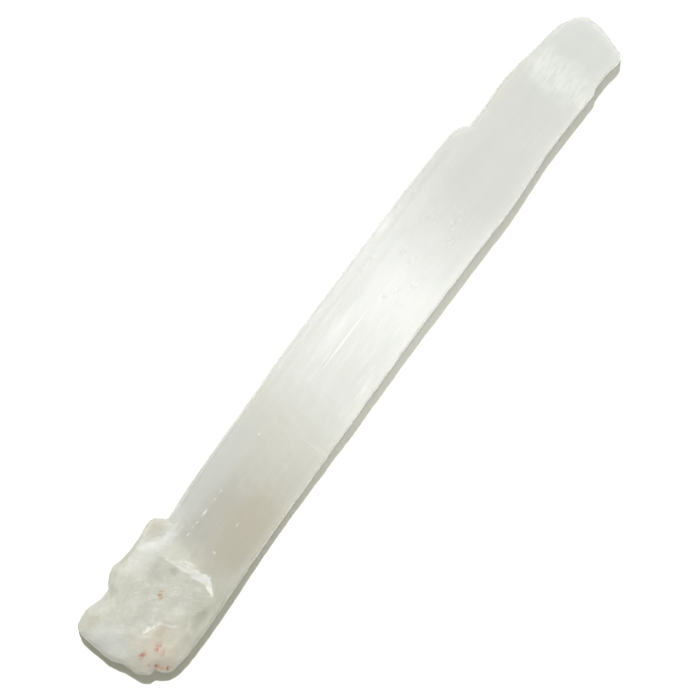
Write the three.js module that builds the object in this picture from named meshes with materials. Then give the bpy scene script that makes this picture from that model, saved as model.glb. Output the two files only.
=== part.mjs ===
// A raw selenite stick: one natural piece of fibrous gypsum, lying on its flat cleavage face.
// A long blade of parallel fibres grows out of a broken, lumpy root. The blade has a bevelled left
// side, a thin slab along its left edge that ends in a ledge, and a blunt broken tip. The root slopes
// down to its right side. It has a shallow basin with a steep crescent wall, a low glassy nub, and
// lumps around its rim.
//
// Frame, in millimetres: +X runs from the root to the tip, +Y to the left side, +Z up. The origin is
// under the middle of the stick's box, on the surface that it rests on.
//
// The skin is two sheets, one over the other, that share one rim. Each sheet is a grid of stations
// along the stick and points across it. A station s is measured from the root's end.
import * as THREE from "three";

const LENGTH = 200;
const RIM_SHARE = 0.42; // height of the widest line on the left, as a share of the top's height
const TIP_BEND = 20; // stations over this length bend to the tip's outline,
const ROOT_BEND = 6; // and over this length to the root end's outline
const TOP_COLUMNS = 34; // cells across the top sheet
const UNDER_COLUMNS = 12; // and across the underside, which is plainer

// ---- Curves and simple shapes --------------------------------------------------------------------

const clamp = (x, low, high) => Math.min(Math.max(x, low), high);
const mix = (a, b, t) => a + (b - a) * t;

// 0 below a, 1 above b, smooth between.
function ramp(x, a, b) {
  const t = clamp((x - a) / (b - a), 0, 1);
  return t * t * (3 - 2 * t);
}

// x where it is positive, else 0, rounded over a width of about r.
const positivePart = (x, r) => (x + Math.sqrt(x * x + r * r)) / 2;

// A smooth mound of height 1 at (s0, y0), with radii rs along the stick and ry across it.
function mound(s, y, [s0, y0, rs, ry]) {
  const q = ((s - s0) / rs) ** 2 + ((y - y0) / ry) ** 2;
  return q < 1 ? (1 - q) ** 2 : 0;
}

// Waves, each [height, turn per mm along, turn per mm across, phase].
function waves(s, y, list) {
  return list.reduce((sum, [height, along, across, phase]) =>
    sum + height * Math.sin(along * s + across * y + phase), 0);
}

// A curve through [x, value] points that never overshoots them (a monotone cubic).
function curveThrough(points) {
  const last = points.length - 1;
  const runs = [];
  const slopes = [];
  for (let i = 0; i < last; i++) {
    runs.push(points[i + 1][0] - points[i][0]);
    slopes.push((points[i + 1][1] - points[i][1]) / runs[i]);
  }
  const tangents = points.map((_, i) => {
    if (i === 0) return slopes[0];
    if (i === last) return slopes[last - 1];
    if (slopes[i - 1] * slopes[i] <= 0) return 0;
    const before = 2 * runs[i] + runs[i - 1];
    const after = runs[i] + 2 * runs[i - 1];
    return (before + after) / (before / slopes[i - 1] + after / slopes[i]);
  });
  return (x) => {
    if (x <= points[0][0]) return points[0][1];
    if (x >= points[last][0]) return points[last][1];
    let i = 0;
    while (x > points[i + 1][0]) i++;
    const t = (x - points[i][0]) / runs[i];
    const bulge = t * (1 - t) * runs[i];
    return mix(points[i][1], points[i + 1][1], t * t * (3 - 2 * t)) +
      bulge * ((1 - t) * tangents[i] - t * tangents[i + 1]);
  };
}

// ---- Outline, seen from above --------------------------------------------------------------------

// The left side: root lumps, the nub at 28 to 37, the slab's ledge at 155 to 160, then the tip.
const leftSide = curveThrough([
  [0, 10.4], [1, 11.4], [2.4, 12.4], [6.5, 12.9], [9.4, 12.1], [11.6, 11.6], [13.6, 11.6],
  [15.3, 12.8], [19.1, 14.2], [21.8, 13.4], [27, 13.2], [33.3, 13.6], [35, 13], [36.1, 11.7],
  [37.2, 10.3], [39.5, 10.5], [46, 11.1], [69, 11.9], [94, 12.6], [119, 12.75], [144, 12.6],
  [155.3, 12.2], [157.4, 11.7], [159.3, 10.8], [160.4, 9.6], [165, 9.5], [174, 9.8], [184, 8.5],
  [194, 6.8], [197, 5.2],
]);

// The right side: a chipped corner at the root, the long gentle bow of the blade, chips near the tip.
const rightSide = curveThrough([
  [0, -7.6], [2.5, -9.9], [5.1, -10.5], [5.6, -12.3], [6.9, -13.5], [9, -14.05], [15.3, -14.5],
  [22, -14.4], [33, -13.85], [49, -13.1], [69, -12.5], [94, -11.95], [119, -11.5],
  [134, -11.5], [149, -11.75], [157, -11.25], [169, -10.55], [179, -10.75], [184.8, -10.9],
  [186.4, -10.4], [190, -10.35], [195, -11], [197, -10.5],
]);

// The broken ends: how far each reaches, from the right side (-1) to the left (1).
const tipEnd = curveThrough([
  [-1, 196.8], [-0.9, 197.6], [-0.6, 198.2], [-0.28, 199.2], [0.1, 199.9], [0.5, 200],
  [0.8, 198.8], [1, 196.6],
]);
const rootEnd = curveThrough([
  [-1, 2], [-0.86, 1.5], [-0.7, 1.15], [-0.36, 1.15], [-0.18, 0.35], [0.1, 0], [0.5, 0.3],
  [0.85, 0.7], [1, 1.3],
]);

// ---- Heights of the blade ------------------------------------------------------------------------

const crestHeight = curveThrough([
  [0, 10], [4, 11.6], [12, 12.8], [24, 13.2], [34, 12.9], [50, 12.1], [80, 11.4], [120, 11],
  [150, 10.4], [175, 9.8], [190, 9.5], [200, 9.2],
]);

// The long edge between the left bevel and the top face, and how steep the bevel is.
const bevelEdge = curveThrough([[30, 4.2], [48, 4.2], [70, 5.2], [110, 6.4], [155, 5.6], [200, 2]]);
const bevelSlope = curveThrough([[30, 0.32], [50, 0.28], [68, 0.2], [86, 0.12], [200, 0.1]]);

// The root and the blade's start slope down to the right side.
const rightSlope = curveThrough([
  [0, 0.25], [16, 0.22], [40, 0.33], [62, 0.25], [86, 0.06], [110, 0],
]);
const rightFall = (s, y) => rightSlope(s) * positivePart(-2 - y, 1.5);

// A thin slab lies low on the left edge, and the top layer thins out short of the tip.
const SLAB = { side: [8.9, 10.3], start: [66, 92], end: [157, 148], drop: 0.3 };
const LAYER_END = { start: 183, end: 189, drop: 0.15 };

const SWELL = [[0.04, 0.045, 0.5, 0.6]];

function bladeTop(s, y) {
  let z = crestHeight(s) - 0.02 * y - rightFall(s, y) + waves(s, y, SWELL);
  z -= bevelSlope(s) * positivePart(y - bevelEdge(s), 0.25);
  z -= SLAB.drop * ramp(s, ...SLAB.start) * ramp(s, ...SLAB.end) * ramp(y, ...SLAB.side);
  return z - LAYER_END.drop * ramp(s, LAYER_END.start, LAYER_END.end);
}

// ---- Heights of the root -------------------------------------------------------------------------

// The basin ends in a steep wall, between a foot and an upper lip that arc across the stick.
const wallFoot = curveThrough([[-11, 28], [-10.1, 28.2], [-8.2, 28.8], [-6.4, 28.9], [1, 28.7], [4.8, 28.5]]);
const wallLip = curveThrough([
  [-11, 28.8], [-10.1, 29.1], [-8.7, 30.2], [-6.8, 31.9], [-3.3, 31.5], [0, 30.8], [4.8, 29.1],
]);
const BASIN = { depth: 1.4, start: [8, 16], right: [-10.6, -7.2], left: [6.8, 0.4] };

function basinDepth(s, y) {
  const across = ramp(y, ...BASIN.right) * ramp(y, ...BASIN.left);
  return BASIN.depth * ramp(s, ...BASIN.start) * across * ramp(s, wallLip(y), wallFoot(y));
}

// Lumps and hollows of the root: [s, y, radius along, radius across, height].
const ROOT_FORMS = [
  [5.9, 6.5, 8, 8, 1], // frosted lump at the end's left corner
  [18.9, 10.6, 6, 5, 0.8], // lump on the left rim
  [13.4, 11.6, 3.2, 4.5, -0.8], // saddle between those two
  [28.8, 7.6, 8.5, 4.4, 0.8], // white shoulder that runs up to the blade
  [33.5, 12.6, 4.8, 4.2, -1.8], // low glassy nub
  [9, -8, 9, 6.6, 1.5], // iron-stained lump at the end's right corner
  [18.7, -6.4, 3.6, 3, 0.6], // small lumps in the basin
  [22.7, -2.6, 3, 2.4, 0.4],
  [14.9, 3, 4.6, 3.2, 0.5],
  [22.1, -11, 4.2, 2.4, -0.7], // hollow at the right rim
  [27.4, 1.6, 2, 1.8, -0.4], // pit at the foot of the wall
  [4.2, -12.8, 6.5, 5.5, -2.2], // chipped corner beside the stained lump
];

// The stained lump breaks off in a sharp ledge along this line.
const lumpEdge = curveThrough([[9.4, -1.2], [11.2, -2], [14, -3.1], [15.3, -3.8], [16.6, -6.8], [18, -8.3]]);
const LUMP_LEDGE = { height: 0.35, rise: [-0.3, 0.3], back: [6, 1], start: [8, 12], end: [19, 15] };

const BROKEN_SURFACE = [[0.06, 0.9, 0.7, 0], [0.05, -0.6, 1.2, 1.3]];

function rootTop(s, y) {
  let z = crestHeight(s) - rightFall(s, y) - basinDepth(s, y) + waves(s, y, BROKEN_SURFACE);
  for (const form of ROOT_FORMS) z += form[4] * mound(s, y, form);
  const behindEdge = lumpEdge(s) - y;
  const ledge = ramp(behindEdge, ...LUMP_LEDGE.rise) * ramp(behindEdge, ...LUMP_LEDGE.back);
  return z + LUMP_LEDGE.height * ledge * ramp(s, ...LUMP_LEDGE.start) * ramp(s, ...LUMP_LEDGE.end);
}

// The root passes into the blade behind the wall's lip, and a little later beside the nub.
function topHeight(s, y) {
  const start = wallLip(y) + 1.5 * ramp(y, 5, 9);
  return mix(rootTop(s, y), bladeTop(s, y), ramp(s, start - 0.5, start + 3));
}

// ---- Heights of the underside --------------------------------------------------------------------

// A flat cleavage face to rest on, long bevels at both sides, lifted ends and shallow scars.
const UNDER_BEVELS = { left: 6.2, leftSlope: 0.34, right: 4.6, rightSlope: 0.4 };
const UNDER_ENDS = { root: 7, rootLift: 1.6, tip: 14, tipLift: 0.8 };
const UNDER_SCARS = [
  [17, 4, 7, 5, 1.1], [27, -7, 6, 4, 0.8], [50, 2, 12, 4, 0.6], [84, -4, 20, 3.4, 0.7],
  [122, 4.5, 22, 3, 0.6], [156, -3, 14, 3, 0.6], [193, -4, 9, 6, 1],
];
const FLAT_CUT = 0.28; // everything lower than this is planed off to the flat face

function underHeight(s, y) {
  let z = UNDER_BEVELS.leftSlope * positivePart(y - leftSide(s) + UNDER_BEVELS.left, 0.4);
  z += UNDER_BEVELS.rightSlope * positivePart(rightSide(s) + UNDER_BEVELS.right - y, 0.4);
  z += UNDER_ENDS.rootLift * ramp(s, UNDER_ENDS.root, 0);
  z += UNDER_ENDS.tipLift * ramp(s, LENGTH - UNDER_ENDS.tip, LENGTH);
  for (const scar of UNDER_SCARS) z += scar[4] * mound(s, y, scar);
  return Math.max(0, z - FLAT_CUT);
}

// ---- The skin ------------------------------------------------------------------------------------

// Both long sides turn down to the rim in three flat facets. Each corner is [distance in from the
// rim, as a share of the turn's width, height above the rim, as a share of the sheet's].
const SIDE_FACETS = [[0, 0], [0.12, 0.46], [0.45, 0.91], [1, 1]];
const LEFT_TURN = curveThrough([[0, 2.4], [34, 2.4], [50, 1.6], [150, 1.1], [200, 1.1]]);
const RIGHT_TURN = curveThrough([[0, 0.9], [40, 0.8], [60, 0.7], [200, 0.6]]);
const FACET_WANDER = [[0.03, 0.13, 0.9, 0], [0.02, 0.29, 1.7, 2]]; // of the middle corners' heights

// The broken ends are rounded over these lengths.
const ROOT_TURN = 1.8;
const TIP_TURN = 1.5;
const endRound = (distance, length) => Math.sqrt(1 - (1 - clamp(distance / length, 0, 1)) ** 2);

// The rim hangs lower on the right side of the root. Its height wanders a little, as the sides are
// broken, not cut.
const rightRimShare = curveThrough([[0, 0.24], [30, 0.26], [60, 0.32], [95, RIM_SHARE]]);
const RIM_WANDER = [[0.2, 0.09, 0.15, 0], [0.12, 0.31, 0.1, 1]];

function rimHeight(s, y) {
  const share = mix(rightRimShare(s), RIM_SHARE, ramp(y, -13, 3));
  return share * crestHeight(s) + waves(s, y, RIM_WANDER);
}

// Points across a sheet, from left to right: on the facets' corners at both sides, even between.
// Each is [y, share of the way in from the rim].
function pointsAcross(s, left, right, columns) {
  const corners = SIDE_FACETS.length - 1;
  const leftTurn = LEFT_TURN(s);
  const rightTurn = RIGHT_TURN(s);
  return Array.from({ length: columns + 1 }, (_, j) => {
    const fromRight = columns - j;
    if (j >= corners && fromRight >= corners) {
      return [mix(left - leftTurn, right + rightTurn, (j - corners) / (columns - 2 * corners)), 1];
    }
    const [distance, height] = SIDE_FACETS[Math.min(j, fromRight)];
    const wander = waves(s, Math.min(j, fromRight) + (j < corners ? 0 : 3), FACET_WANDER);
    const y = j < corners ? left - leftTurn * distance : right + rightTurn * distance;
    return [y, height === 0 ? 0 : height + wander];
  });
}

// Stations: close together at both ends, over the root and at the ledge, far apart along the blade.
const SPANS = [
  [0.1, 1], [1.8, 4], [8, 7], [27, 20], [33, 10], [40, 7], [60, 8], [152, 15], [162, 9],
  [184, 6], [198.5, 10], [LENGTH - 0.1, 4], [LENGTH, 1],
];

function stationsAlong() {
  const stations = [0];
  for (const [end, steps] of SPANS) {
    const start = stations.at(-1);
    for (let k = 1; k <= steps; k++) stations.push(mix(start, end, k / steps));
  }
  return stations;
}

// The points of one sheet at a station. Near an end the stations bend, so that the last one lies on
// that end's outline.
function sheetPoints(station, columns, isTop) {
  const tipShare = clamp((station - (LENGTH - TIP_BEND)) / TIP_BEND, 0, 1);
  const rootShare = clamp((ROOT_BEND - station) / ROOT_BEND, 0, 1);
  const bent = (side) => station + tipShare * (tipEnd(side) - LENGTH) + rootShare * rootEnd(side);
  const left = leftSide(bent(1));
  const right = rightSide(bent(-1));
  const endShare = endRound(station, ROOT_TURN) * endRound(LENGTH - station, TIP_TURN);
  return pointsAcross(station, left, right, columns).map(([y, sideShare]) => {
    const s = bent((2 * y - left - right) / (left - right));
    const surface = isTop ? topHeight(s, y) : underHeight(s, y);
    return [s - LENGTH / 2, y, mix(rimHeight(s, y), surface, sideShare * endShare)];
  });
}

function skinGeometry() {
  const positions = [];
  const index = [];

  // A row of point numbers across one sheet. Both sheets share the ends of a row.
  function makeRow(station, columns, isTop, sharedRow) {
    return sheetPoints(station, columns, isTop).map((point, j) => {
      if (sharedRow && j === 0) return sharedRow[0];
      if (sharedRow && j === columns) return sharedRow.at(-1);
      return positions.push(...point) / 3 - 1;
    });
  }

  // Triangles between two rows, which may differ in their number of points. Where both rows step at
  // one place, the diagonal leans to the middle of the stick, so that no corner triangle has all
  // three of its points on the rim.
  function joinRows(a, b, faceUp, isRootHalf) {
    const addTriangle = (p, q, r) => index.push(...(faceUp ? [p, q, r] : [p, r, q]));
    let i = 0;
    let j = 0;
    while (i < a.length - 1 || j < b.length - 1) {
      const nextA = (i + 1) / (a.length - 1);
      const nextB = (j + 1) / (b.length - 1);
      const tieStepsA = isRootHalf === nextA > 0.5;
      if (nextA < nextB || (nextA === nextB && tieStepsA)) {
        addTriangle(a[i], a[i + 1], b[j]);
        i++;
      } else {
        addTriangle(a[i], b[j + 1], b[j]);
        j++;
      }
    }
  }

  const stations = stationsAlong();
  let above;
  let below;
  stations.forEach((station, n) => {
    const onEnd = n === 0 || n === stations.length - 1;
    const top = makeRow(station, TOP_COLUMNS, true);
    const under = onEnd ? top : makeRow(station, UNDER_COLUMNS, false, top);
    if (n > 0) {
      joinRows(above, top, true, station < LENGTH / 2);
      joinRows(below, under, false, station < LENGTH / 2);
    }
    above = top;
    below = under;
  });

  const geometry = new THREE.BufferGeometry();
  geometry.setAttribute("position", new THREE.Float32BufferAttribute(positions, 3));
  geometry.setIndex(index);
  geometry.computeVertexNormals();
  return geometry;
}

// ---- The object ----------------------------------------------------------------------------------

const selenite = new THREE.MeshStandardMaterial({ color: 0xdedfd6, roughness: 0.35, metalness: 0 });

const stick = new THREE.Mesh(skinGeometry(), selenite);
stick.name = "selenite_stick";

const object = new THREE.Group();
object.add(stick);

export default object;
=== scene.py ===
# A raw selenite stick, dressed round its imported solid. It lies along X, root at -X and tip at +X,
# with its flat side down on Z = 0.
import math

import bpy
import numpy as np
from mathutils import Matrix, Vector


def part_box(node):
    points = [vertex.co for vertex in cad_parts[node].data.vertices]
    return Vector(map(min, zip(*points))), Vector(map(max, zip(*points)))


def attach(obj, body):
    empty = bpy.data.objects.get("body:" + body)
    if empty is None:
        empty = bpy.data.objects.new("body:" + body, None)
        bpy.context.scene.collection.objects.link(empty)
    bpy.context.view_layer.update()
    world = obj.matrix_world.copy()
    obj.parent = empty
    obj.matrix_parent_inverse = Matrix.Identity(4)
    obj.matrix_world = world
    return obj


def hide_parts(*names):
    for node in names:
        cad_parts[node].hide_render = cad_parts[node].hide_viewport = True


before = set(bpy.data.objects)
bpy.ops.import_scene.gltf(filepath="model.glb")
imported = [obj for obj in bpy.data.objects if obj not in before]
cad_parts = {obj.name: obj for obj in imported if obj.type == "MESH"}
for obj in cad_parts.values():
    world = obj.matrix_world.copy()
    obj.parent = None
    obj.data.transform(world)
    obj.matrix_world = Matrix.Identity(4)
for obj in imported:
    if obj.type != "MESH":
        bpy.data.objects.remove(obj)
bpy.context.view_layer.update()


# ==== The stick ===================================================================================
# One grown piece of fibrous gypsum: a milky blade of parallel fibres, broken out of a lumpy root.
# Its skin is two sheets, one over the other, that share one rim, and follows the solid's outlines
# and heights. A node tree then works its fibres and breaks into that skin.
#
# Forms are in millimetres: a station s runs from the root's end, y is to the left, z is up.

MM = 0.001
stick_low, stick_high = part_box("selenite_stick")
LENGTH = (stick_high[0] - stick_low[0]) / MM
RIM_SHARE = 0.42  # height of the widest line, as a share of the top's height there
TIP_BEND = 20  # rows of points over this length bend to the tip's outline
ROOT_BEND = 6  # and over this length to the root end's


def mix(a, b, share):
    return a + (b - a) * share


def ramp(x, a, b):
    """0 before a and 1 past b, smooth between."""
    t = np.clip((x - a) / (b - a), 0, 1)
    return t * t * (3 - 2 * t)


def positive_part(x, r):
    """x where it is positive, else 0, rounded over a width of about r."""
    return (x + np.sqrt(x * x + r * r)) / 2


def mound(s, y, s0, y0, along, across):
    """A smooth mound of height 1 with those radii."""
    q = ((s - s0) / along) ** 2 + ((y - y0) / across) ** 2
    return np.clip(1 - q, 0, 1) ** 2


def curve_through(*points):
    """A curve through (x, value) points that never overshoots them (a monotone cubic)."""
    x, value = np.array(points, float).T
    run = np.diff(x)
    slope = np.diff(value) / run
    tangent = np.concatenate(([slope[0]], np.zeros(len(x) - 2), [slope[-1]]))
    for i in range(1, len(x) - 1):
        if slope[i - 1] * slope[i] > 0:
            before = 2 * run[i] + run[i - 1]
            after = run[i] + 2 * run[i - 1]
            tangent[i] = (before + after) / (before / slope[i - 1] + after / slope[i])

    def value_at(at):
        at = np.clip(at, x[0], x[-1])
        i = np.clip(np.searchsorted(x, at) - 1, 0, len(run) - 1)
        t = (at - x[i]) / run[i]
        bulge = t * (1 - t) * run[i]
        straight = mix(value[i], value[i + 1], t * t * (3 - 2 * t))
        return straight + bulge * ((1 - t) * tangent[i] - t * tangent[i + 1])

    return value_at


GRAIN_CELLS = 97


def grain(s, y, pitch_s, pitch_y, seed):
    """Smooth random heights from -1 to 1 that change over those lengths along and across."""
    table = np.random.default_rng(seed).uniform(-1, 1, (GRAIN_CELLS, GRAIN_CELLS))
    u = s / pitch_s + 0.37 * seed
    v = y / pitch_y + 0.61 * seed
    i = np.floor(u).astype(int)
    j = np.floor(v).astype(int)
    tu = ramp(u - i, 0, 1)
    tv = ramp(v - j, 0, 1)

    def at(di, dj):
        return table[(i + di) % GRAIN_CELLS, (j + dj) % GRAIN_CELLS]

    return mix(mix(at(0, 0), at(1, 0), tu), mix(at(0, 1), at(1, 1), tu), tv)


def grain_along(s, pitch, seed):
    """Grain that changes along the stick alone."""
    return grain(s, s * 0, pitch, 1, seed)


def grain_across(y, pitch, seed):
    """Grain that changes across the stick alone."""
    return grain(y * 0, y, 1, pitch, seed)


# The left side from above: root lumps, the nub at 28 to 37, the slab's ledge at 155 to 160, and the
# tip.
left_side = curve_through(
    (0, 10.4), (1, 11.4), (2.4, 12.4), (6.5, 12.9), (9.4, 12.1), (11.6, 11.6), (13.6, 11.6),
    (15.3, 12.8), (19.1, 14.2), (21.8, 13.4), (27, 13.2), (33.3, 13.6), (35, 13), (36.1, 11.7),
    (37.2, 10.3), (39.5, 10.5), (46, 11.1), (69, 11.9), (94, 12.6), (119, 12.75), (144, 12.6),
    (155.3, 12.2), (157.4, 11.7), (159.3, 10.8), (160.4, 9.6), (165, 9.5), (174, 9.8), (184, 8.5),
    (194, 6.8), (197, 5.2),
)
# The right side: a chipped corner at the root, the long bow of the blade, chips near the tip.
right_side = curve_through(
    (0, -7.6), (3, -9.8), (5.1, -10.4), (5.6, -12.3), (6.9, -13.5), (9, -14.05), (15.3, -14.5),
    (22, -14.4), (33, -13.85), (49, -13.1), (69, -12.5), (94, -11.95), (119, -11.5), (134, -11.5),
    (149, -11.75), (157, -11.25), (169, -10.55), (179, -10.75), (184.8, -10.9), (186.4, -10.4),
    (190, -10.35), (195, -11), (197, -10.5),
)
# The station that each broken end reaches, from the right side (-1) to the left (1).
tip_end = curve_through(
    (-1, 196.8), (-0.9, 197.6), (-0.6, 198.2), (-0.28, 199.2), (0.1, 199.9), (0.5, 200),
    (0.8, 198.8), (1, 196.6),
)
root_end = curve_through(
    (-1, 3), (-0.86, 2), (-0.7, 1.15), (-0.36, 1.15), (-0.18, 0.35), (0.1, 0), (0.5, 0.3),
    (0.85, 0.7), (1, 1.3),
)
crest_height = curve_through(
    (0, 10), (4, 11.6), (12, 12.8), (24, 13.2), (34, 12.9), (50, 12.1), (80, 11.4), (120, 11),
    (150, 10.4), (175, 9.8), (190, 9.5), (200, 9.2),
)

# The rim hangs lower on the right side of the root, as a share of the top's height.
right_rim = curve_through((0, 0.24), (30, 0.26), (60, 0.32), (95, 0.42), (200, 0.42))


def rim_height(s, y):
    share = mix(right_rim(s), RIM_SHARE, ramp(y, -13, 3))
    return share * crest_height(s) + 0.35 * grain(s, y, 16, 30, 45) + 0.12 * grain(s, y, 4, 30, 46)


# The long edge between the blade's left bevel and its top face, how steep the bevel is, and the
# chips along that edge: s, length and strength of each.
bevel_edge = curve_through((30, 4.2), (48, 4.2), (70, 5.2), (110, 6.4), (155, 5.6), (200, 2))
bevel_slope = curve_through((30, 0.32), (50, 0.28), (68, 0.2), (86, 0.12), (200, 0.1))
BEVEL_CHIPS = (
    (36.9, 0.7, 0.8), (39.2, 0.6, 0.3), (40.7, 0.6, 0.6), (43.9, 1, 1), (48.2, 0.8, 0.35),
    (50.6, 0.6, 0.25), (67.7, 0.4, 0.7),
)
CHIP_DEPTH = 0.05
SLAB_STEP = 0.3  # the thin slab lies this much lower, along the left edge
LAYER_END = 187  # the blade's top layer stops short of the tip here, in ragged teeth
LAYER_STEP = 0.15
CRACK = 73.1  # a fine crack runs in from the right side here
CRACK_DEPTH = 0.06
# The root and the blade's start slope down to the right side.
right_fall = curve_through((0, 0.25), (16, 0.22), (40, 0.33), (62, 0.25), (86, 0.06), (110, 0))


def fall_to_right(s, y):
    return right_fall(s) * positive_part(-2 - y, 1.5)


def layer_end(y):
    return LAYER_END + 1.3 * grain_across(y, 1.6, 13) + 0.5 * grain_across(y, 0.5, 14)


def chip_mound(s, y, chip, length):
    """1 in the middle of the chip at that station of the bevel's edge, and 0 round it."""
    return mound(s, y, chip, bevel_edge(chip) - 0.35, length + 0.3, 0.4)


def blade_top(s, y):
    z = crest_height(s) - 0.02 * y - fall_to_right(s, y)
    z += 0.04 * np.sin(0.045 * s + 0.5 * y + 0.6) + 0.02 * grain(s, y, 46, 5, 11)
    z += 0.006 * grain(s, y, 24, 1.1, 12)
    z -= bevel_slope(s) * positive_part(y - bevel_edge(s), 0.25)
    z -= SLAB_STEP * ramp(s, 66, 92) * ramp(s, 157, 148) * ramp(y, 8.9, 10.3)
    z -= LAYER_STEP * ramp(s - layer_end(y), -4, 2)
    for chip, length, strength in BEVEL_CHIPS:
        z -= CHIP_DEPTH * strength * chip_mound(s, y, chip, length)
    crack = CRACK + 0.35 * grain_across(y, 1.9, 15)
    z -= CRACK_DEPTH * ramp(abs(s - crack), 0.35, 0) * ramp(y, -3.4, -5)
    return z


# The root's basin ends in a steep wall, between a foot and an upper lip that arc across the stick.
wall_foot = curve_through(
    (-11, 28), (-10.1, 28.2), (-8.2, 28.8), (-6.4, 28.9), (1, 28.7), (4.8, 28.5)
)
wall_lip = curve_through(
    (-11, 28.8), (-10.1, 29.1), (-8.7, 30.2), (-6.8, 31.9), (-3.3, 31.5), (0, 30.8), (4.8, 29.1)
)
BASIN_DEPTH = 1.4
HACKLE_HEIGHT = 0.12  # of the ridges on the wall


def wall_climb(s, y):
    """0 at the foot of the wall and 1 at its lip."""
    foot = wall_foot(y) + 0.2 * grain_across(y, 0.9, 20)
    lip = np.maximum(wall_lip(y) + 0.35 * grain_across(y, 0.55, 21), foot + 0.4)
    return np.clip((s - foot) / (lip - foot), 0, 1)


def basin_share(s, y):
    return ramp(s, 8, 16) * ramp(y, -10.6, -7.2) * ramp(y, 6.8, 0.4)


def hackles(s, y):
    """Slanted ridges, from -1 to 1, that feather out over a torn face."""
    over = 0.87 * s + 0.5 * y
    through = 0.87 * y - 0.5 * s
    return 0.6 * grain(over, through, 0.5, 2.6, 24) + 0.4 * grain(over, through, 0.25, 1.4, 26)


# Lumps and hollows of the root: s, y, radius along, radius across, height.
ROOT_FORMS = (
    (5.9, 6.5, 8, 8, 1.0),  # frosted lump at the end's left corner
    (18.9, 10.6, 6, 5, 0.8),  # lump on the left rim
    (13.4, 11.6, 3.2, 4.5, -0.8),  # saddle between those two
    (28.8, 7.6, 8.5, 4.4, 0.8),  # white shoulder that runs up to the blade
    (33.5, 12.6, 4.8, 4.2, -1.8),  # low glassy nub
    (9, -8, 9, 6.6, 1.5),  # iron-stained lump at the end's right corner
    (18.7, -6.4, 3.6, 3, 0.6),  # small lumps in the basin
    (22.7, -2.6, 3, 2.4, 0.4),
    (14.9, 3, 4.6, 3.2, 0.5),
    (22.1, -11, 4.2, 2.4, -0.7),  # hollow at the right rim
    (27.4, 1.6, 2, 1.8, -0.4),  # pit at the foot of the wall
    (4.2, -12.8, 6.5, 5.5, -2.2),  # chipped corner beside the stained lump
)
# The stained lump breaks off in a sharp ledge along this line.
lump_edge = curve_through(
    (9.4, -1.2), (11.2, -2), (14, -3.1), (15.3, -3.8), (16.6, -6.8), (18, -8.3)
)
LEDGE_HEIGHT = 0.35


def root_top(s, y):
    climb = wall_climb(s, y)
    z = crest_height(s) - fall_to_right(s, y)
    z -= BASIN_DEPTH * basin_share(s, y) * ramp(climb, 1, 0)
    z += 0.06 * np.sin(0.9 * s + 0.7 * y) + 0.05 * np.sin(1.2 * y - 0.6 * s + 1.3)
    z += 0.08 * grain(s, y, 2.8, 2.4, 22) + 0.04 * grain(s, y, 1.2, 1.1, 23)
    z += HACKLE_HEIGHT * hackles(s, y) * 4 * climb * (1 - climb) * basin_share(s, y)
    for s0, y0, along, across, height in ROOT_FORMS:
        z += height * mound(s, y, s0, y0, along, across)
    behind = lump_edge(s) - y
    ledge = ramp(behind, -0.3, 0.3) * ramp(behind, 6, 1) * ramp(s, 8, 12) * ramp(s, 19, 15)
    return z + LEDGE_HEIGHT * ledge


def blade_share(s, y):
    """0 on the root's top and 1 on the blade's, which starts behind the wall's lip."""
    start = wall_lip(y) + 1.5 * ramp(y, 5, 9)
    return ramp(s, start - 0.5, start + 3)


def top_height(s, y):
    return mix(root_top(s, y), blade_top(s, y), blade_share(s, y))


# Shallow scars in the underside: s, y, radius along, radius across, depth.
UNDER_SCARS = (
    (17, 4, 7, 5, 1.1), (27, -7, 6, 4, 0.8), (50, 2, 12, 4, 0.6), (84, -4, 20, 3.4, 0.7),
    (122, 4.5, 22, 3, 0.6), (156, -3, 14, 3, 0.6), (193, -4, 9, 6, 1),
)
FLAT_CUT = 0.28  # everything lower than this is planed off to the flat rest face


def under_height(s, y):
    z = 0.34 * positive_part(y - left_side(s) + 6.2, 0.4)
    z += 0.4 * positive_part(right_side(s) + 4.6 - y, 0.4)
    z += 1.6 * ramp(s, 7, 0) + 0.8 * ramp(s, 186, 200)
    for s0, y0, along, across, depth in UNDER_SCARS:
        z += depth * mound(s, y, s0, y0, along, across)
    return np.maximum(0, z - FLAT_CUT)


# Both long sides turn down to the rim over these widths, in three flat facets whose corners wander.
left_turn = curve_through((0, 2.4), (34, 2.4), (50, 1.6), (150, 1.1), (200, 1.1))
right_turn = curve_through((0, 0.9), (40, 0.8), (60, 0.7), (200, 0.6))
ROOT_TURN = 1.8  # the broken ends are rounded over these lengths
TIP_TURN = 1.5
SIDE_HOLLOW = 0.42  # usual depth of the hollows in the root's sides


def facet_rise(distance, s, seed):
    """Share of the height that is reached at a share of the turn's width in from the rim."""
    low_in = 0.12 * (1 + 0.4 * grain_along(s, 17, seed))
    low_up = 0.46 + 0.09 * grain_along(s, 26, seed + 1)
    high_in = 0.45 + 0.1 * grain_along(s, 21, seed + 2)
    high_up = 0.91 + 0.04 * grain_along(s, 13, seed + 3)
    low = low_up * distance / low_in
    middle = mix(low_up, high_up, (distance - low_in) / (high_in - low_in))
    high = mix(high_up, 1, (distance - high_in) / (1 - high_in))
    return np.where(distance < low_in, low, np.where(distance < high_in, middle, high))


def side_hollow(s, rise, seed):
    """How far the root's sides are hollowed: most halfway up, not at all at the rim or the top."""
    height = rise * 6
    lumps = 0.6 + 0.8 * grain(s, height, 4.2, 2.4, seed)
    lumps = lumps + 0.3 * grain(s, height, 1.5, 1.2, seed + 2)
    return SIDE_HOLLOW * np.clip(lumps, 0, None) * 4 * rise * (1 - rise) * ramp(s, 46, 26)


def end_round(distance, length):
    return np.sqrt(1 - (1 - np.clip(distance / length, 0, 1)) ** 2)


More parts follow.
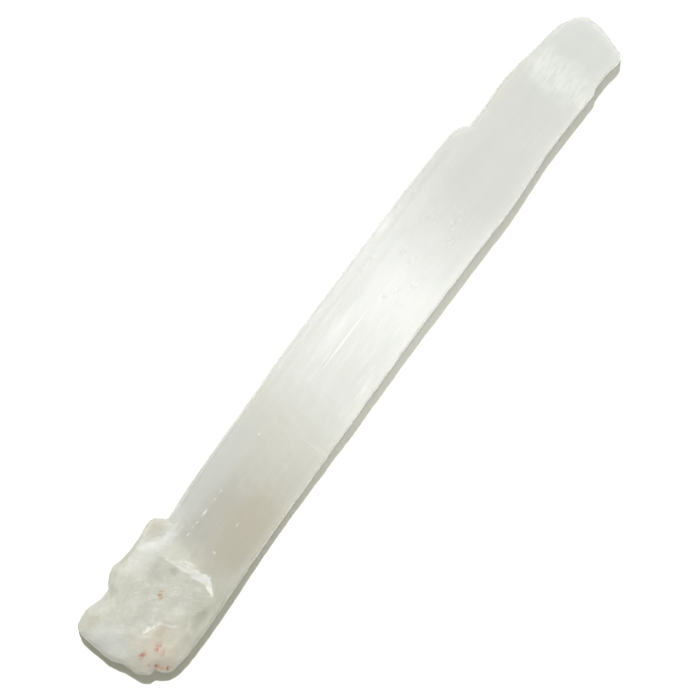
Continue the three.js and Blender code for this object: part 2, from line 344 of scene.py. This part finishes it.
# Rows of points lie closer where there is more to shape, and crowd toward both ends.
stations = np.concatenate((
    3.2 * np.linspace(0, 1, 20) ** 2, np.linspace(3.45, 42, 156), np.linspace(42.6, 150, 160),
    np.linspace(150.4, 165, 44), np.linspace(165.5, LENGTH - 5, 64),
    LENGTH - 4.7 * np.linspace(1, 0, 28) ** 2,
))
TOP_COLUMNS = 124
TURN_COLUMNS = 16
UNDER_STEP = 2  # the underside uses every second column


def sheet(is_top):
    """One sheet's points s, y, z, on a grid of stations along and columns across, left to right."""
    station = stations[:, None]
    tip_share = np.clip((station - (LENGTH - TIP_BEND)) / TIP_BEND, 0, 1)
    root_share = np.clip((ROOT_BEND - station) / ROOT_BEND, 0, 1)

    def bent(side):
        return station + tip_share * (tip_end(side) - LENGTH) + root_share * root_end(side)

    chipping = abs(0.12 * grain_along(station, 3.1, 41) + 0.05 * grain_along(station, 1, 42))
    left = left_side(bent(1)) - chipping
    right = right_side(bent(-1)) + chipping
    turn = np.linspace(0, 1, TURN_COLUMNS + 1)[None, :] ** 1.4
    middle = np.linspace(0, 1, TOP_COLUMNS - 2 * TURN_COLUMNS + 1)[None, 1:-1]
    seed = 51 if is_top else 71
    left_rise = facet_rise(turn, station, seed)
    right_rise = facet_rise(turn[:, ::-1], station, seed + 10)
    left_y = left - left_turn(station) * turn - side_hollow(station, left_rise, seed + 4)
    right_y = right + right_turn(station) * turn[:, ::-1]
    right_y = right_y + side_hollow(station, right_rise, seed + 5)
    y = np.hstack((left_y, mix(left_y[:, -1:], right_y[:, :1], middle), right_y))
    rise = np.hstack((left_rise, np.ones((len(stations), middle.size)), right_rise))
    if not is_top:
        y = y[:, ::UNDER_STEP]
        rise = rise[:, ::UNDER_STEP]
    s = bent((2 * y - left - right) / (left - right))
    rise = rise * end_round(station, ROOT_TURN + 0.4 * grain_across(y, 2.5, 43))
    rise = rise * end_round(LENGTH - station, TIP_TURN + 0.4 * grain_across(y, 2.5, 44))
    full_height = top_height(s, y) if is_top else under_height(s, y)
    return s, y, mix(rim_height(s, y), full_height, rise)


def grid_faces(grid, upward):
    corners = (grid[:-1, :-1], grid[:-1, 1:], grid[1:, 1:], grid[1:, :-1])
    if not upward:
        corners = corners[::-1]
    return np.stack(corners, axis=-1).reshape(-1, 4).tolist()


def end_faces(rim_row, under_row, at_root):
    """Closes the underside's coarser row to the end's row, which has two cells for each of its."""
    faces = []
    for j in range(len(under_row) - 1):
        left, middle, right = rim_row[2 * j], rim_row[2 * j + 1], rim_row[2 * j + 2]
        faces.append((left, under_row[j], under_row[j + 1], middle))
        faces.append((middle, under_row[j + 1], right))
    return faces if at_root else [face[::-1] for face in faces]


top_s, top_y, top_z = sheet(True)
under_s, under_y, under_z = sheet(False)
top_grid = np.arange(top_s.size).reshape(top_s.shape)
under_grid = np.zeros(under_s.shape, int)
inner = (slice(1, -1), slice(1, -1))
under_grid[inner] = top_s.size + np.arange(under_s[inner].size).reshape(under_s[inner].shape)
under_grid[:, 0] = top_grid[:, 0]
under_grid[:, -1] = top_grid[:, -1]

points_s = np.concatenate((top_s.ravel(), under_s[inner].ravel()))
points_y = np.concatenate((top_y.ravel(), under_y[inner].ravel()))
points_z = np.concatenate((top_z.ravel(), under_z[inner].ravel()))
points = np.stack((points_s - LENGTH / 2, points_y, points_z), axis=-1) * MM
faces = grid_faces(top_grid, True) + grid_faces(under_grid[1:-1], False)
faces += end_faces(top_grid[0], under_grid[1], True)
faces += end_faces(top_grid[-1], under_grid[-2], False)

mesh = bpy.data.meshes.new("selenite_stick_skin")
mesh.from_pydata(points.tolist(), [], faces)
mesh.shade_smooth()
blank = bpy.data.objects.new("skin_before_fibres", mesh)
bpy.context.collection.objects.link(blank)


def mark_points(name, values):
    """Gives every point of the skin a value from 0 to 1 that the trees below read."""
    mesh.attributes.new(name, "FLOAT", "POINT").data.foreach_set("value", np.clip(values, 0, 1))


# Torn, hackly skin: the root, whose bounds wander on the sides, and the tip's end, where the fibres
# also splinter at different lengths.
rim = rim_height(points_s, points_y)
on_top = points_z > rim + 0.2
top_share = (points_z - rim) / (top_height(points_s, points_y) - rim)
side_bound = points_s + 5 * grain(points_s, points_z, 5, 2.2, 30)
torn_top = 1 - blade_share(points_s, points_y)
torn = mix(ramp(side_bound, 42, 28), torn_top, ramp(top_share, 0.8, 0.97))
glassy_nub = mound(points_s, points_y, 33.7, 12.4, 5, 4.6)
torn = torn * (1 - ramp(glassy_nub, 0.05, 0.4))
splinters = grain(points_y, points_z, 0.9, 1.1, 31)
from_side = np.minimum(left_side(points_s) - points_y, points_y - right_side(points_s))
tip_face = ramp(points_z, 8.8, 7.6) * ramp(points_s + 0.9 * splinters, LENGTH - 3.2, LENGTH - 1.6)
tip_face *= ramp(from_side, 0.1, 1)
mark_points("splintered", tip_face)
torn = np.maximum(torn, 0.6 * tip_face)
mark_points("torn", torn)

# White faces: the wall and the arc above it, the stained lump's ledge, the shoulder, and the chips
# along the bevel. Most are crushed crystal; the line along the ledge is a painted highlight, and
# the wall's white is partly a painted reflection.
climb = wall_climb(points_s, points_y)
feather = hackles(points_s, points_y)
# The wall's white is partly its torn face and partly a painted reflection of the light.
wall = ramp(climb + 0.1 * feather, 0, 0.24) * ramp(climb, 1, 0.85) * ramp(points_y, 4.9, 4.3)
wall *= ramp(points_y + 0.8 * feather, -10.6, -8.8) * (0.66 + 0.34 * ramp(feather, -0.6, 0.4))
past_lip = points_s - wall_lip(points_y) - 0.5 - 0.5 * feather
second_arc = 0.75 * ramp(abs(past_lip), 0.32, 0.1)
second_arc *= ramp(points_y, -3.2, -0.8) * ramp(points_y, 2.4, 0.6)
# A painted highlight: a white line along the edge of the stained lump's ledge.
beside_ledge = abs(points_y - lump_edge(points_s) - 0.2 * feather)
lip = ramp(abs(beside_ledge - 0.26), 0.26, 0.06) * mix(0.45, 1, ramp(points_s, 16, 14.2))
lip *= ramp(points_s, 10.6, 11.3) * ramp(points_s, 18.8, 16.4)
lip *= ramp(grain(points_s, points_y, 1.1, 0.3, 27), -0.9, 0)
shoulder_line = curve_through(
    (17, 11.4), (23, 10.8), (28, 10.3), (30.7, 8.6), (33.7, 7.1), (39.3, 7.4)
)
beside = points_y - shoulder_line(points_s) + 0.3 * feather
shoulder = ramp(beside, 1.6, 0.6) * ramp(beside, -3, -0.4) * ramp(points_s, 18, 27)
shoulder *= ramp(points_s + 2 * grain(points_s, points_y, 4, 0.5, 28), 41, 32)
shoulder *= 0.75 + 0.35 * grain(points_s, points_y, 1.8, 1, 25) + 0.2 * feather
chips = np.zeros_like(points_s)
for chip, length, strength in BEVEL_CHIPS:
    face = ramp(chip_mound(points_s, points_y, chip, length), 0.1, 0.8)
    chips = np.maximum(chips, strength * face)
chips *= 0.7 + 0.5 * grain(points_s, points_y, 0.5, 0.4, 29)
frosted = np.maximum.reduce((wall, second_arc, 0.9 * lip, 0.42 * shoulder, 0.7 * chips)) * on_top
mark_points("frosted", np.maximum(frosted, 0.4 * tip_face))


class Value:
    """The output of a node. Sums on it add Math nodes to its tree."""

    def __init__(self, tree, output):
        self.tree = tree
        self.output = output

    def math(self, operation, *others):
        kind = "ShaderNodeMath"
        sockets = {i: value for i, value in enumerate((self, *others))}
        return self.tree.add(kind, {"operation": operation}, sockets)

    def __add__(self, other):
        return self.math("ADD", other)

    def __sub__(self, other):
        return self.math("SUBTRACT", other)

    def __rsub__(self, other):
        return self.math("MULTIPLY_ADD", -1, other)

    def __mul__(self, other):
        return self.math("MULTIPLY", other)

    def __truediv__(self, other):
        return self.math("DIVIDE", other)

    __radd__ = __add__
    __rmul__ = __mul__

    def above(self, low, high):
        """0 below low, 1 above high, smooth between; the other way round if low is the higher."""
        if low > high:
            return 1 - self.above(high, low)
        settings = {"interpolation_type": "SMOOTHSTEP"}
        sockets = {"Value": self, "From Min": low, "From Max": high}
        return self.tree.add("ShaderNodeMapRange", settings, sockets)

    def or_more(self, other):
        return self.math("MAXIMUM", other)


class Tree:
    """A node tree. Every node but a sum's is made by add."""

    def __init__(self, tree):
        self.tree = tree

    def add(self, kind, settings=None, sockets=None, output=0):
        """Adds a node, with its settings and its sockets' values or links, and gives one output."""
        node = self.tree.nodes.new(kind)
        for name, setting in (settings or {}).items():
            if name == "stops":
                self.set_stops(node.color_ramp.elements, setting)
            else:
                setattr(node, name, setting)
        for key, value in (sockets or {}).items():
            enabled = [socket for socket in node.inputs if socket.enabled]
            named = [socket for socket in enabled if socket.name == key]
            socket = enabled[key] if isinstance(key, int) else named[0]
            if isinstance(value, Value):
                self.tree.links.new(value.output, socket)
            else:
                socket.default_value = value
        outputs = [socket for socket in node.outputs if socket.enabled]
        named = [socket for socket in outputs if socket.name == output]
        if outputs:
            return Value(self, named[0] if named else outputs[output])

    @staticmethod
    def set_stops(elements, stops):
        while len(elements) < len(stops):
            elements.new(1)
        for element, (position, colour) in zip(elements, stops):
            element.position = position
            element.color = colour


# ---- Its fibres and breaks: a tree that cuts them into the skin ----------------------------------
# Gypsum of this kind splits along its fibres, in laths with fine grooves. Across them it breaks in
# crumbs, and at the tip the fibres end in splinters.

cutting = bpy.data.node_groups.new("cut_fibres_and_breaks", "GeometryNodeTree")
cutting.is_modifier = True
cutting.interface.new_socket("Skin", in_out="INPUT", socket_type="NodeSocketGeometry")
FIBRE_SIZES = {
    "Lath length": 34 * MM,
    "Lath width": 1.1 * MM,
    "Lath step": 0.09 * MM,
    "Groove length": 9 * MM,
    "Groove width": 0.36 * MM,
    "Groove depth": 0.07 * MM,
    "Face share": 0.06,
    "Break size": 1.5 * MM,
    "Break depth": 0.12 * MM,
    "Splinter step": 0.3 * MM,
    "Seed": 4.0,
}
for name in FIBRE_SIZES:
    cutting.interface.new_socket(name, in_out="INPUT", socket_type="NodeSocketFloat")
cutting.interface.new_socket("Crystal", in_out="INPUT", socket_type="NodeSocketMaterial")
cutting.interface.new_socket("Skin", in_out="OUTPUT", socket_type="NodeSocketGeometry")

tree = Tree(cutting)
group_input = cutting.nodes.new("NodeGroupInput")
size = {socket.name: Value(tree, socket) for socket in group_input.outputs}


def stretched(length, width):
    """Position measured in cells of that length along X and that width across."""
    cell = tree.add("ShaderNodeCombineXYZ", {}, {"X": length, "Y": width, "Z": width})
    position = tree.add("GeometryNodeInputPosition")
    return tree.add("ShaderNodeVectorMath", {"operation": "DIVIDE"}, {0: position, 1: cell})


def point_mark(name):
    return tree.add("GeometryNodeInputNamedAttribute", {"data_type": "FLOAT"}, {"Name": name})


def upward_part(vector):
    return tree.add("ShaderNodeSeparateXYZ", {}, {"Vector": vector}, output="Z")


four_d = {"voronoi_dimensions": "4D"}
lath_colour = tree.add(
    "ShaderNodeTexVoronoi", four_d,
    {"Vector": stretched(size["Lath length"], size["Lath width"]), "W": size["Seed"], "Scale": 1.0},
    output="Color",
)
lath = tree.add("ShaderNodeSeparateXYZ", {}, {"Vector": lath_colour})
groove = tree.add(
    "ShaderNodeTexNoise", {"noise_dimensions": "4D"},
    {
        "Vector": stretched(size["Groove length"], size["Groove width"]), "W": size["Seed"],
        "Scale": 1.0, "Detail": 2.0,
    },
)
crumble = tree.add(
    "ShaderNodeTexVoronoi", four_d | {"feature": "SMOOTH_F1"},
    {
        "Vector": stretched(size["Break size"], size["Break size"]), "W": size["Seed"],
        "Scale": 1.0, "Smoothness": 0.25, "Detail": 1.0,
    },
)
is_torn = point_mark("torn")
normal = tree.add("GeometryNodeInputNormal")
flatness = upward_part(normal).math("ABSOLUTE").above(0.8, 0.98)
fibre_share = 1 - flatness * (1 - size["Face share"])  # the cleaved top and bottom are smoother
depth = (lath * size["Lath step"] + groove * size["Groove depth"]) * fibre_share * (1 - is_torn)
depth = depth + crumble * size["Break depth"] * is_torn * (1 - 0.6 * flatness)
depth = depth + lath * size["Splinter step"] * point_mark("splintered")

# Nothing is cut off the flat face, so that the stick still rests on it.
height = upward_part(tree.add("GeometryNodeInputPosition"))
depth = depth * height.above(0.2 * MM, 1.2 * MM)
inward = tree.add(
    "ShaderNodeVectorMath", {"operation": "SCALE"}, {"Vector": normal, "Scale": depth * -1}
)
cut_skin = tree.add("GeometryNodeSetPosition", {}, {"Geometry": size["Skin"], "Offset": inward})
cut_skin = tree.add("GeometryNodeRealizeInstances", {}, {"Geometry": cut_skin})
cut_skin = tree.add(
    "GeometryNodeSetMaterial", {}, {"Geometry": cut_skin, "Material": size["Crystal"]}
)
tree.add("NodeGroupOutput", {}, {"Skin": cut_skin})


# ---- Its material: milky crystal -----------------------------------------------------------------
# Clear gypsum full of fine fibres. It is paler where the fibres are crushed, beige and grey-green
# where it is clearest, and rust-red where iron got into the root. Some light and shade is painted
# into its colour as well, each where it stands.

selenite = bpy.data.materials.new("selenite")
selenite.use_nodes = True
selenite.node_tree.nodes.clear()
tree = Tree(selenite.node_tree)


def colour(red, green, blue):
    """A colour from 0 to 255, as light values."""

    def light(part):
        part = part / 255
        return part / 12.92 if part <= 0.04045 else ((part + 0.055) / 1.055) ** 2.4

    return (light(red), light(green), light(blue), 1)


def blend(share, a, b):
    return tree.add("ShaderNodeMix", {"data_type": "RGBA"}, {"Factor": share, "A": a, "B": b})


place = tree.add("ShaderNodeTexCoord", output="Object")
place = tree.add(
    "ShaderNodeVectorMath", {"operation": "MULTIPLY_ADD"},
    {0: place, 1: (1 / MM, 1 / MM, 1 / MM), 2: (LENGTH / 2, 0, 0)},
)
along = tree.add("ShaderNodeSeparateXYZ", {}, {"Vector": place})
across = tree.add("ShaderNodeSeparateXYZ", {}, {"Vector": place}, output="Y")
on_upper_side = upward_part(place).above(5.4, 7)


def noise(cell, detail, seed, turn=0):
    """Soft random values round 0.5, with cells of that size in millimetres, turned that far."""
    turned = tree.add(
        "ShaderNodeVectorRotate", {"rotation_type": "Z_AXIS"},
        {"Vector": place, "Angle": math.radians(turn)},
    )
    scaled = tree.add("ShaderNodeVectorMath", {"operation": "DIVIDE"}, {0: turned, 1: cell})
    return tree.add(
        "ShaderNodeTexNoise", {"noise_dimensions": "4D"},
        {"Vector": scaled, "W": float(seed), "Scale": 1.0, "Detail": float(detail)},
    )


wander = noise((2.4, 2.4, 2.4), 3, 1) - 0.5


def patch(s, y, half_length, half_width, softness=0.5, raggedness=1.0):
    """1 inside that ellipse on the upper side, 0 outside, with a ragged edge."""
    kind = "ShaderNodeVectorMath"
    shrink = (1 / half_length, 1 / half_width, 0)
    centred = tree.add(kind, {"operation": "SUBTRACT"}, {0: place, 1: (s, y, 0)})
    scaled = tree.add(kind, {"operation": "MULTIPLY"}, {0: centred, 1: shrink})
    distance = tree.add(kind, {"operation": "LENGTH"}, {0: scaled}, output="Value")
    return (distance + wander * raggedness).above(1 + softness, 1 - softness) * on_upper_side


# The body's colour, station by station. It is palest round 100 to 120, where part of the sheen
# is painted in, and darkest round 40 to 50, where the shade seen through the clear crystal is
# painted in.
BODY_COLOURS_WITH_PAINTED_LIGHT = (
    (0, (208, 209, 201)), (18, (210, 211, 203)), (30, (203, 203, 195)), (40, (190, 189, 183)),
    (50, (191, 189, 182)), (58, (200, 199, 193)), (72, (210, 210, 205)), (86, (222, 223, 222)),
    (100, (225, 226, 226)), (120, (228, 229, 231)), (134, (219, 220, 220)), (146, (211, 212, 212)),
    (174, (213, 214, 214)), (188, (214, 216, 216)), (200, (216, 217, 218)),
)
body = tree.add(
    "ShaderNodeValToRGB",
    {"stops": [(s / LENGTH, colour(*rgb)) for s, rgb in BODY_COLOURS_WITH_PAINTED_LIGHT]},
    {0: (along + 14 * wander) / LENGTH},
)

fibres = noise((22, 0.45, 0.45), 4, 2)
mist = noise((16, 3.2, 3.2), 2, 3)
clots = noise((1.6, 1.3, 1.3), 3, 4)
torn_here = tree.add("ShaderNodeAttribute", {"attribute_name": "torn"}, output="Fac")
frost_and_highlight_here = tree.add("ShaderNodeAttribute", {"attribute_name": "frosted"}, output="Fac")

# Along the blade: fibres and mist. In the root: clots of paler and of clearer, greener crystal.
blade_here = 1 - torn_here
body = blend(0.08 * fibres.above(0.42, 0.72) * blade_here, body, colour(246, 247, 244))
body = blend(0.08 * mist.above(0.56, 0.4) * blade_here, body, colour(204, 205, 198))
in_root = torn_here * along.above(60, 40)
body = blend(0.28 * clots.above(0.5, 0.36) * in_root, body, colour(192, 193, 178))
body = blend(0.34 * clots.above(0.52, 0.68) * in_root, body, colour(230, 231, 225))
crumbs = noise((0.5, 0.45, 0.45), 2, 10)
body = blend(0.45 * crumbs.above(0.56, 0.74) * in_root, body, colour(240, 241, 236))
scratches = noise((2.4, 0.24, 0.5), 2, 14, 40)
body = blend(0.4 * scratches.above(0.58, 0.72) * in_root, body, colour(243, 244, 240))
strokes = noise((8, 0.55, 0.55), 3, 13)
strokes_here = along.above(76, 90) * along.above(118, 102) * blade_here
body = blend(0.32 * strokes.above(0.54, 0.7) * strokes_here, body, colour(252, 253, 253))
body = blend(0.18 * strokes.above(0.46, 0.32) * strokes_here, body, colour(206, 207, 203))
flecks = noise((1.6, 0.3, 0.3), 2, 11)
milky_here = along.above(66, 86) * along.above(160, 140) * blade_here
body = blend(0.22 * flecks.above(0.6, 0.78) * milky_here, body, colour(252, 252, 252))
body = blend(0.12 * flecks.above(0.42, 0.26) * milky_here, body, colour(196, 198, 194))

# Patches of colour, most of them the crystal's own and some painted light and shade: the colour,
# how strong it is, and the ellipse that it fills.
PATCHES = (
    ((222, 225, 226), 0.5, (3.8, 4.2, 4.2, 5.6)),  # bluish frost on the root's left lump
    ((198, 191, 176), 0.45, (5.6, 9.9, 2.2, 1.3, 0.8)),  # brown corner of that lump
    ((176, 178, 162), 0.5, (22.6, -9.9, 5.8, 2, 0.8)),  # clear green hollow at the right rim
    # painted shade along the root's right rim, which slopes away from the light
    ((186, 186, 176), 0.6, (23, -12.6, 9, 1.7)),
    ((226, 227, 223), 0.5, (19.3, -7.1, 2.2, 1.2, 0.8)),  # pale crystal below the lump's ledge
    ((230, 231, 227), 0.6, (17.2, -5, 1.1, 1.3, 0.8)),
    ((228, 227, 223), 0.5, (8, -2.6, 1.9, 1.1, 0.8)),  # and above the rosy lump
    ((198, 198, 189), 0.3, (20.5, 12.8, 4, 1.3)),  # darker left rim
    ((178, 181, 169), 0.7, (27.9, 0.9, 1.1, 0.9, 0.8)),  # painted shadow in the pit at the foot of the wall
    ((222, 226, 229), 0.35, (28.6, 8.4, 5, 2.2, 0.8)),  # bluish cloud over the shoulder
    ((236, 237, 233), 0.35, (22, 8, 2.2, 1.6, 0.8)),  # and the paler crystal round it
    ((236, 238, 237), 0.35, (34, 8, 2.2, 1.4, 0.8)),
    ((207, 201, 191), 0.6, (9.9, -8, 8, 5.4, 0.7)),  # rosy lump
    ((222, 214, 204), 0.5, (8, -11.6, 2, 1.3, 0.8)),  # its corner, paler with painted light that lifts the shade of the chipped slope
    ((198, 184, 166), 0.6, (13.4, -5.3, 2.4, 0.9, 0.8)),  # rusty stretch behind the lump's ledge
    ((240, 242, 240), 0.4, (27.9, 11.3, 1.6, 1.1, 0.7, 0.8)),  # white face before the nub
    ((206, 203, 189), 0.6, (34.4, 11.3, 3.2, 2.3, 0.7)),  # the nub
    ((224, 224, 216), 0.5, (30.8, 2.4, 3.2, 4.8, 0.6)),  # pale start of the blade
    ((209, 212, 211), 0.6, (52, 8.4, 18, 3.8)),  # bluish bevel, partly clear crystal and partly painted light where it turns to the lamp
    # a painted highlight on the bevel by the nub
    ((228, 229, 226), 0.3, (38.8, 9.2, 3, 1.8)),
    ((208, 207, 198), 0.4, (46, -12.2, 12, 1.2)),  # paler right edge: painted glow of the light that comes through the thin edge
    ((197, 190, 174), 0.5, (46, -7, 12, 5)),  # beige inside of the blade's start, darkened by painted shade seen through the clear crystal
    ((240, 241, 245), 0.35, (98.6, 4.7, 6, 1.6, 0.8, 1.2)),  # bluish mist
    ((242, 243, 241), 0.15, (128, 9, 36, 3.4, 0.8)),  # painted light: the blade's left side lighter
    ((204, 206, 202), 0.15, (124, -9.4, 12, 2.4, 0.8)),  # and painted shade: its right side darker
    ((230, 231, 230), 0.4, (73.2, -8, 0.2, 3, 0.8, 0.4)),  # the crack's crushed lips
    ((234, 235, 236), 0.15, (73.5, -9.8, 0.6, 1.6, 0.9, 0.9)),
    ((212, 210, 201), 0.3, (172, 8.8, 12, 1.7)),  # yellow tinge by the left edge near the tip: painted light that comes through the thin edge
    ((238, 238, 232), 0.6, (37.4, -4.1, 0.25, 0.5, 0.6, 0.6)),  # white flecks
    ((238, 238, 232), 0.5, (46.3, -4.5, 0.6, 0.2, 0.6, 0.6)),
    ((252, 252, 252), 0.55, (98.6, 2, 9, 0.2, 0.5, 0.25)),  # painted highlight: a thin white line along the blade
    ((246, 247, 248), 0.5, (128, 11.4, 2.2, 0.9, 0.8, 0.8)),  # bright spot on the slab
)
for rgb, strength, ellipse in PATCHES:
    body = blend(patch(*ellipse) * strength, body, colour(*rgb))

# Small grey and white flaws in the milky blade, each a loose cluster in an ellipse.
FLAWS = (
    (117.8, 8.7, 3, 0.7), (110.4, 5.8, 1, 0.7), (116.3, -0.7, 1.1, 0.9), (120, -3.6, 1.2, 0.9),
    (114, -3.4, 0.9, 0.7), (113.4, 0.9, 1.4, 0.8), (123.6, 0.4, 1.8, 1), (136, 2.8, 1, 1.6),
    (139.4, -2.4, 2.6, 1), (134.2, -4.2, 1.8, 1.2), (125.4, 3.6, 1.4, 1),
)
grit = noise((0.9, 0.45, 0.45), 3, 12)
flawed = 0.0
for s0, y0, half_length, half_width in FLAWS:
    flawed = patch(s0, y0, half_length, half_width, 0.8, 1.2) + flawed
body = blend(0.4 * flawed * grit.above(0.46, 0.62), body, colour(200, 201, 197))
body = blend(0.4 * flawed * grit.above(0.46, 0.36), body, colour(252, 252, 252))

# Frost: the crushed faces, with the painted highlight and reflection among them, and a ragged,
# streaky end of the top layer.
streaks = noise((3.6, 0.8, 0.8), 4, 5)
ragged_end = patch(183, -2, 4.4, 9, 0.6, 1.6) * streaks.above(0.3, 0.62)
ragged_end = ragged_end.or_more(patch(183.6, 4.6, 4.4, 1.5, 0.6, 1.2) * streaks.above(0.2, 0.55))
body = blend(0.5 * ragged_end, body, colour(240, 242, 241))
body = blend(0.95 * frost_and_highlight_here, body, colour(252, 253, 252))

# Iron: a pink haze, and specks of rust in loose clusters on the rosy lump, and one in the basin.
IRON = (
    (6.5, -5.2, 1.2, 0.6, 1.0), (10.5, -6.9, 1.2, 0.6, 1.0), (9.9, -8.8, 1.1, 0.5, 0.9),
    (9.4, -7.4, 0.6, 0.4, 0.9), (5.5, -7.9, 0.5, 0.4, 0.7), (6.2, -9.7, 0.7, 0.6, 0.9),
    (6.6, -11, 0.4, 0.6, 0.7), (7.4, -12.3, 0.7, 0.5, 1.2), (20.3, -0.1, 0.6, 0.5, 0.7),
    (21.3, 0.5, 1, 0.7, 0.5),
)
rust = 0.0
for s0, y0, half_length, half_width, strength in IRON:
    rust = patch(s0, y0, half_length, half_width, 0.6, 1.2) * strength + rust
specks = noise((0.6, 0.45, 0.6), 2, 6)
haze = patch(8, -8.2, 3.6, 4.4, 0.8)
body = blend(0.3 * haze, body, colour(218, 200, 188))
body = blend(0.5 * rust, body, colour(212, 178, 160))
body = blend(0.8 * rust * specks.above(0.46, 0.6), body, colour(190, 120, 100))
body = blend(0.9 * rust * specks.above(0.58, 0.68), body, colour(128, 60, 46))

# Light runs along the fibres, so they spread a highlight into a band across the stick.
fibre_relief = noise((30, 0.5, 0.5), 3, 7) * 0.7 + noise((12, 0.16, 0.16), 2, 8) * 0.3
fibre_relief = fibre_relief * (0.4 + 0.6 * along.above(50, 95))
break_relief = noise((0.7, 0.6, 0.6), 3, 9)
relief = fibre_relief * blade_here + break_relief * torn_here
bump = tree.add("ShaderNodeBump", {}, {"Strength": 1.0, "Distance": 0.009 * MM, "Height": relief})
roughness = 0.2 + 0.32 * torn_here + 0.3 * frost_and_highlight_here + 0.08 * fibres

surface = tree.add(
    "ShaderNodeBsdfPrincipled", {"subsurface_method": "RANDOM_WALK"},
    {
        "Base Color": body, "Roughness": roughness, "IOR": 1.52, "Normal": bump,
        "Subsurface Weight": 1.0, "Subsurface Radius": (1.0, 1.0, 0.88), "Subsurface Scale": 3 * MM,
        "Transmission Weight": 0.2,
    },
)
body_tint = {"Color": colour(215, 217, 207), "Density": 30.0}
inside = tree.add("ShaderNodeVolumeAbsorption", {}, body_tint)
tree.add("ShaderNodeOutputMaterial", {}, {"Surface": surface, "Volume": inside})


# ---- The finished piece --------------------------------------------------------------------------
# The skin goes through the tree once. What comes out is a plain mesh that stands for the solid.

cutter = blank.modifiers.new("fibres", "NODES")
cutter.node_group = cutting
for socket in cutting.interface.items_tree:
    if socket.in_out == "INPUT" and socket.name in FIBRE_SIZES:
        cutter[socket.identifier] = FIBRE_SIZES[socket.name]
    elif socket.name == "Crystal":
        cutter[socket.identifier] = selenite
cut = blank.evaluated_get(bpy.context.evaluated_depsgraph_get())
stick = bpy.data.objects.new("selenite_crystal", bpy.data.meshes.new_from_object(cut))
bpy.context.collection.objects.link(stick)
bpy.data.objects.remove(blank)
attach(stick, "root")
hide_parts("selenite_stick")


# ==== The floor ===================================================================================
# A plain pale sheet of matt paper that the stick lies on, wide enough for every view. It isn't part
# of the stick.

FLOOR_HALF = 1.5

paper = bpy.data.materials.new("pale_paper")
paper.use_nodes = True
paper.node_tree.nodes.clear()
tree = Tree(paper.node_tree)
pale_matt = {"Base Color": colour(250, 250, 249), "Roughness": 0.9}
matt = tree.add("ShaderNodeBsdfPrincipled", {}, pale_matt)
tree.add("ShaderNodeOutputMaterial", {}, {"Surface": matt})

floor_mesh = bpy.data.meshes.new("floor")
corners = [(x * FLOOR_HALF, y * FLOOR_HALF, 0) for x, y in ((-1, -1), (1, -1), (1, 1), (-1, 1))]
floor_mesh.from_pydata(corners, [], [(0, 1, 2, 3)])
floor_mesh.materials.append(paper)
floor = bpy.data.objects.new("floor", floor_mesh)
bpy.context.collection.objects.link(floor)


# ==== Light =======================================================================================
# An even warm dome, a soft key from the left that leaves a narrow shadow along the right side, a
# weak low fill that pales the blade's shadow, and a small lamp whose sheen lies across the fibres.

dome = bpy.data.worlds.new("dome")
dome.use_nodes = True
dome.node_tree.nodes.clear()
tree = Tree(dome.node_tree)
sky = tree.add("ShaderNodeBackground", {}, {"Color": (1, 0.995, 0.77, 1), "Strength": 0.28})
tree.add("ShaderNodeOutputWorld", {}, {"Surface": sky})
bpy.context.scene.world = dome


def add_lamp(name, kind, strength):
    lamp = bpy.data.lights.new(name, kind)
    lamp.energy = strength
    holder = bpy.data.objects.new(name, lamp)
    bpy.context.collection.objects.link(holder)
    return holder


KEY_FROM = (0.25, 0.23, 1)  # the direction that the key's light comes from
x, y, z = KEY_FROM
key = add_lamp("key", "SUN", 3.28)
key.data.angle = math.radians(3)
key.rotation_euler = (0, math.atan2(math.hypot(x, y), z), math.atan2(y, x))

# The fill comes from the blade's right side, so the shadow there is paler than the root's.
FILL_STATION = 128
FILL_DISTANCE = 0.25
FILL_HEIGHT = 0.2
fill = add_lamp("fill", "SPOT", 1.32)
fill.data.color = (1, 1, 0.93)
fill.data.spot_size = math.radians(49)
fill.data.spot_blend = 1
fill.data.shadow_soft_size = 0.04
fill.location = ((FILL_STATION - LENGTH / 2) * MM, -FILL_DISTANCE, FILL_HEIGHT)
fill.rotation_euler = (math.atan2(FILL_DISTANCE, FILL_HEIGHT), 0, 0)

# Neither is mirrored in the skin or seen through the crystal, so they leave no glare there.
for soft_lamp in (key, fill):
    soft_lamp.visible_glossy = False
    soft_lamp.visible_transmission = False

# The small lamp hangs close, so that its sheen is one band across the stick.
SHEEN_STATION = 118
SHEEN_HEIGHT = 0.18
sheen = add_lamp("sheen", "AREA", 0.01)
sheen.data.shape = "RECTANGLE"
sheen.data.size = 5 * MM
sheen.data.size_y = 16 * MM
sheen.location = ((SHEEN_STATION - LENGTH / 2) * MM, 2 * MM, SHEEN_HEIGHT)


# ==== Camera ======================================================================================
# It looks straight down from well above, turned so that the stick runs from the lower left to the
# upper right and fills the frame.

STICK_ANGLE = 52.88  # degrees above horizontal
CAMERA_HEIGHT = 1.6
FRAME_WIDTH = 174.4 * MM  # at the height of the rim
RIM_HEIGHT = 4.8 * MM

camera_data = bpy.data.cameras.new("camera")
camera_data.sensor_width = 36
camera_data.lens = camera_data.sensor_width * (CAMERA_HEIGHT - RIM_HEIGHT) / FRAME_WIDTH
camera_data.clip_start = 0.01
camera = bpy.data.objects.new("camera", camera_data)
camera.location = (-2.2 * MM, -0.6 * MM, CAMERA_HEIGHT)
camera.rotation_euler = (0, 0, -math.radians(STICK_ANGLE))
bpy.context.collection.objects.link(camera)
bpy.context.scene.camera = camera
bpy.context.scene.view_settings.view_transform = "Standard"
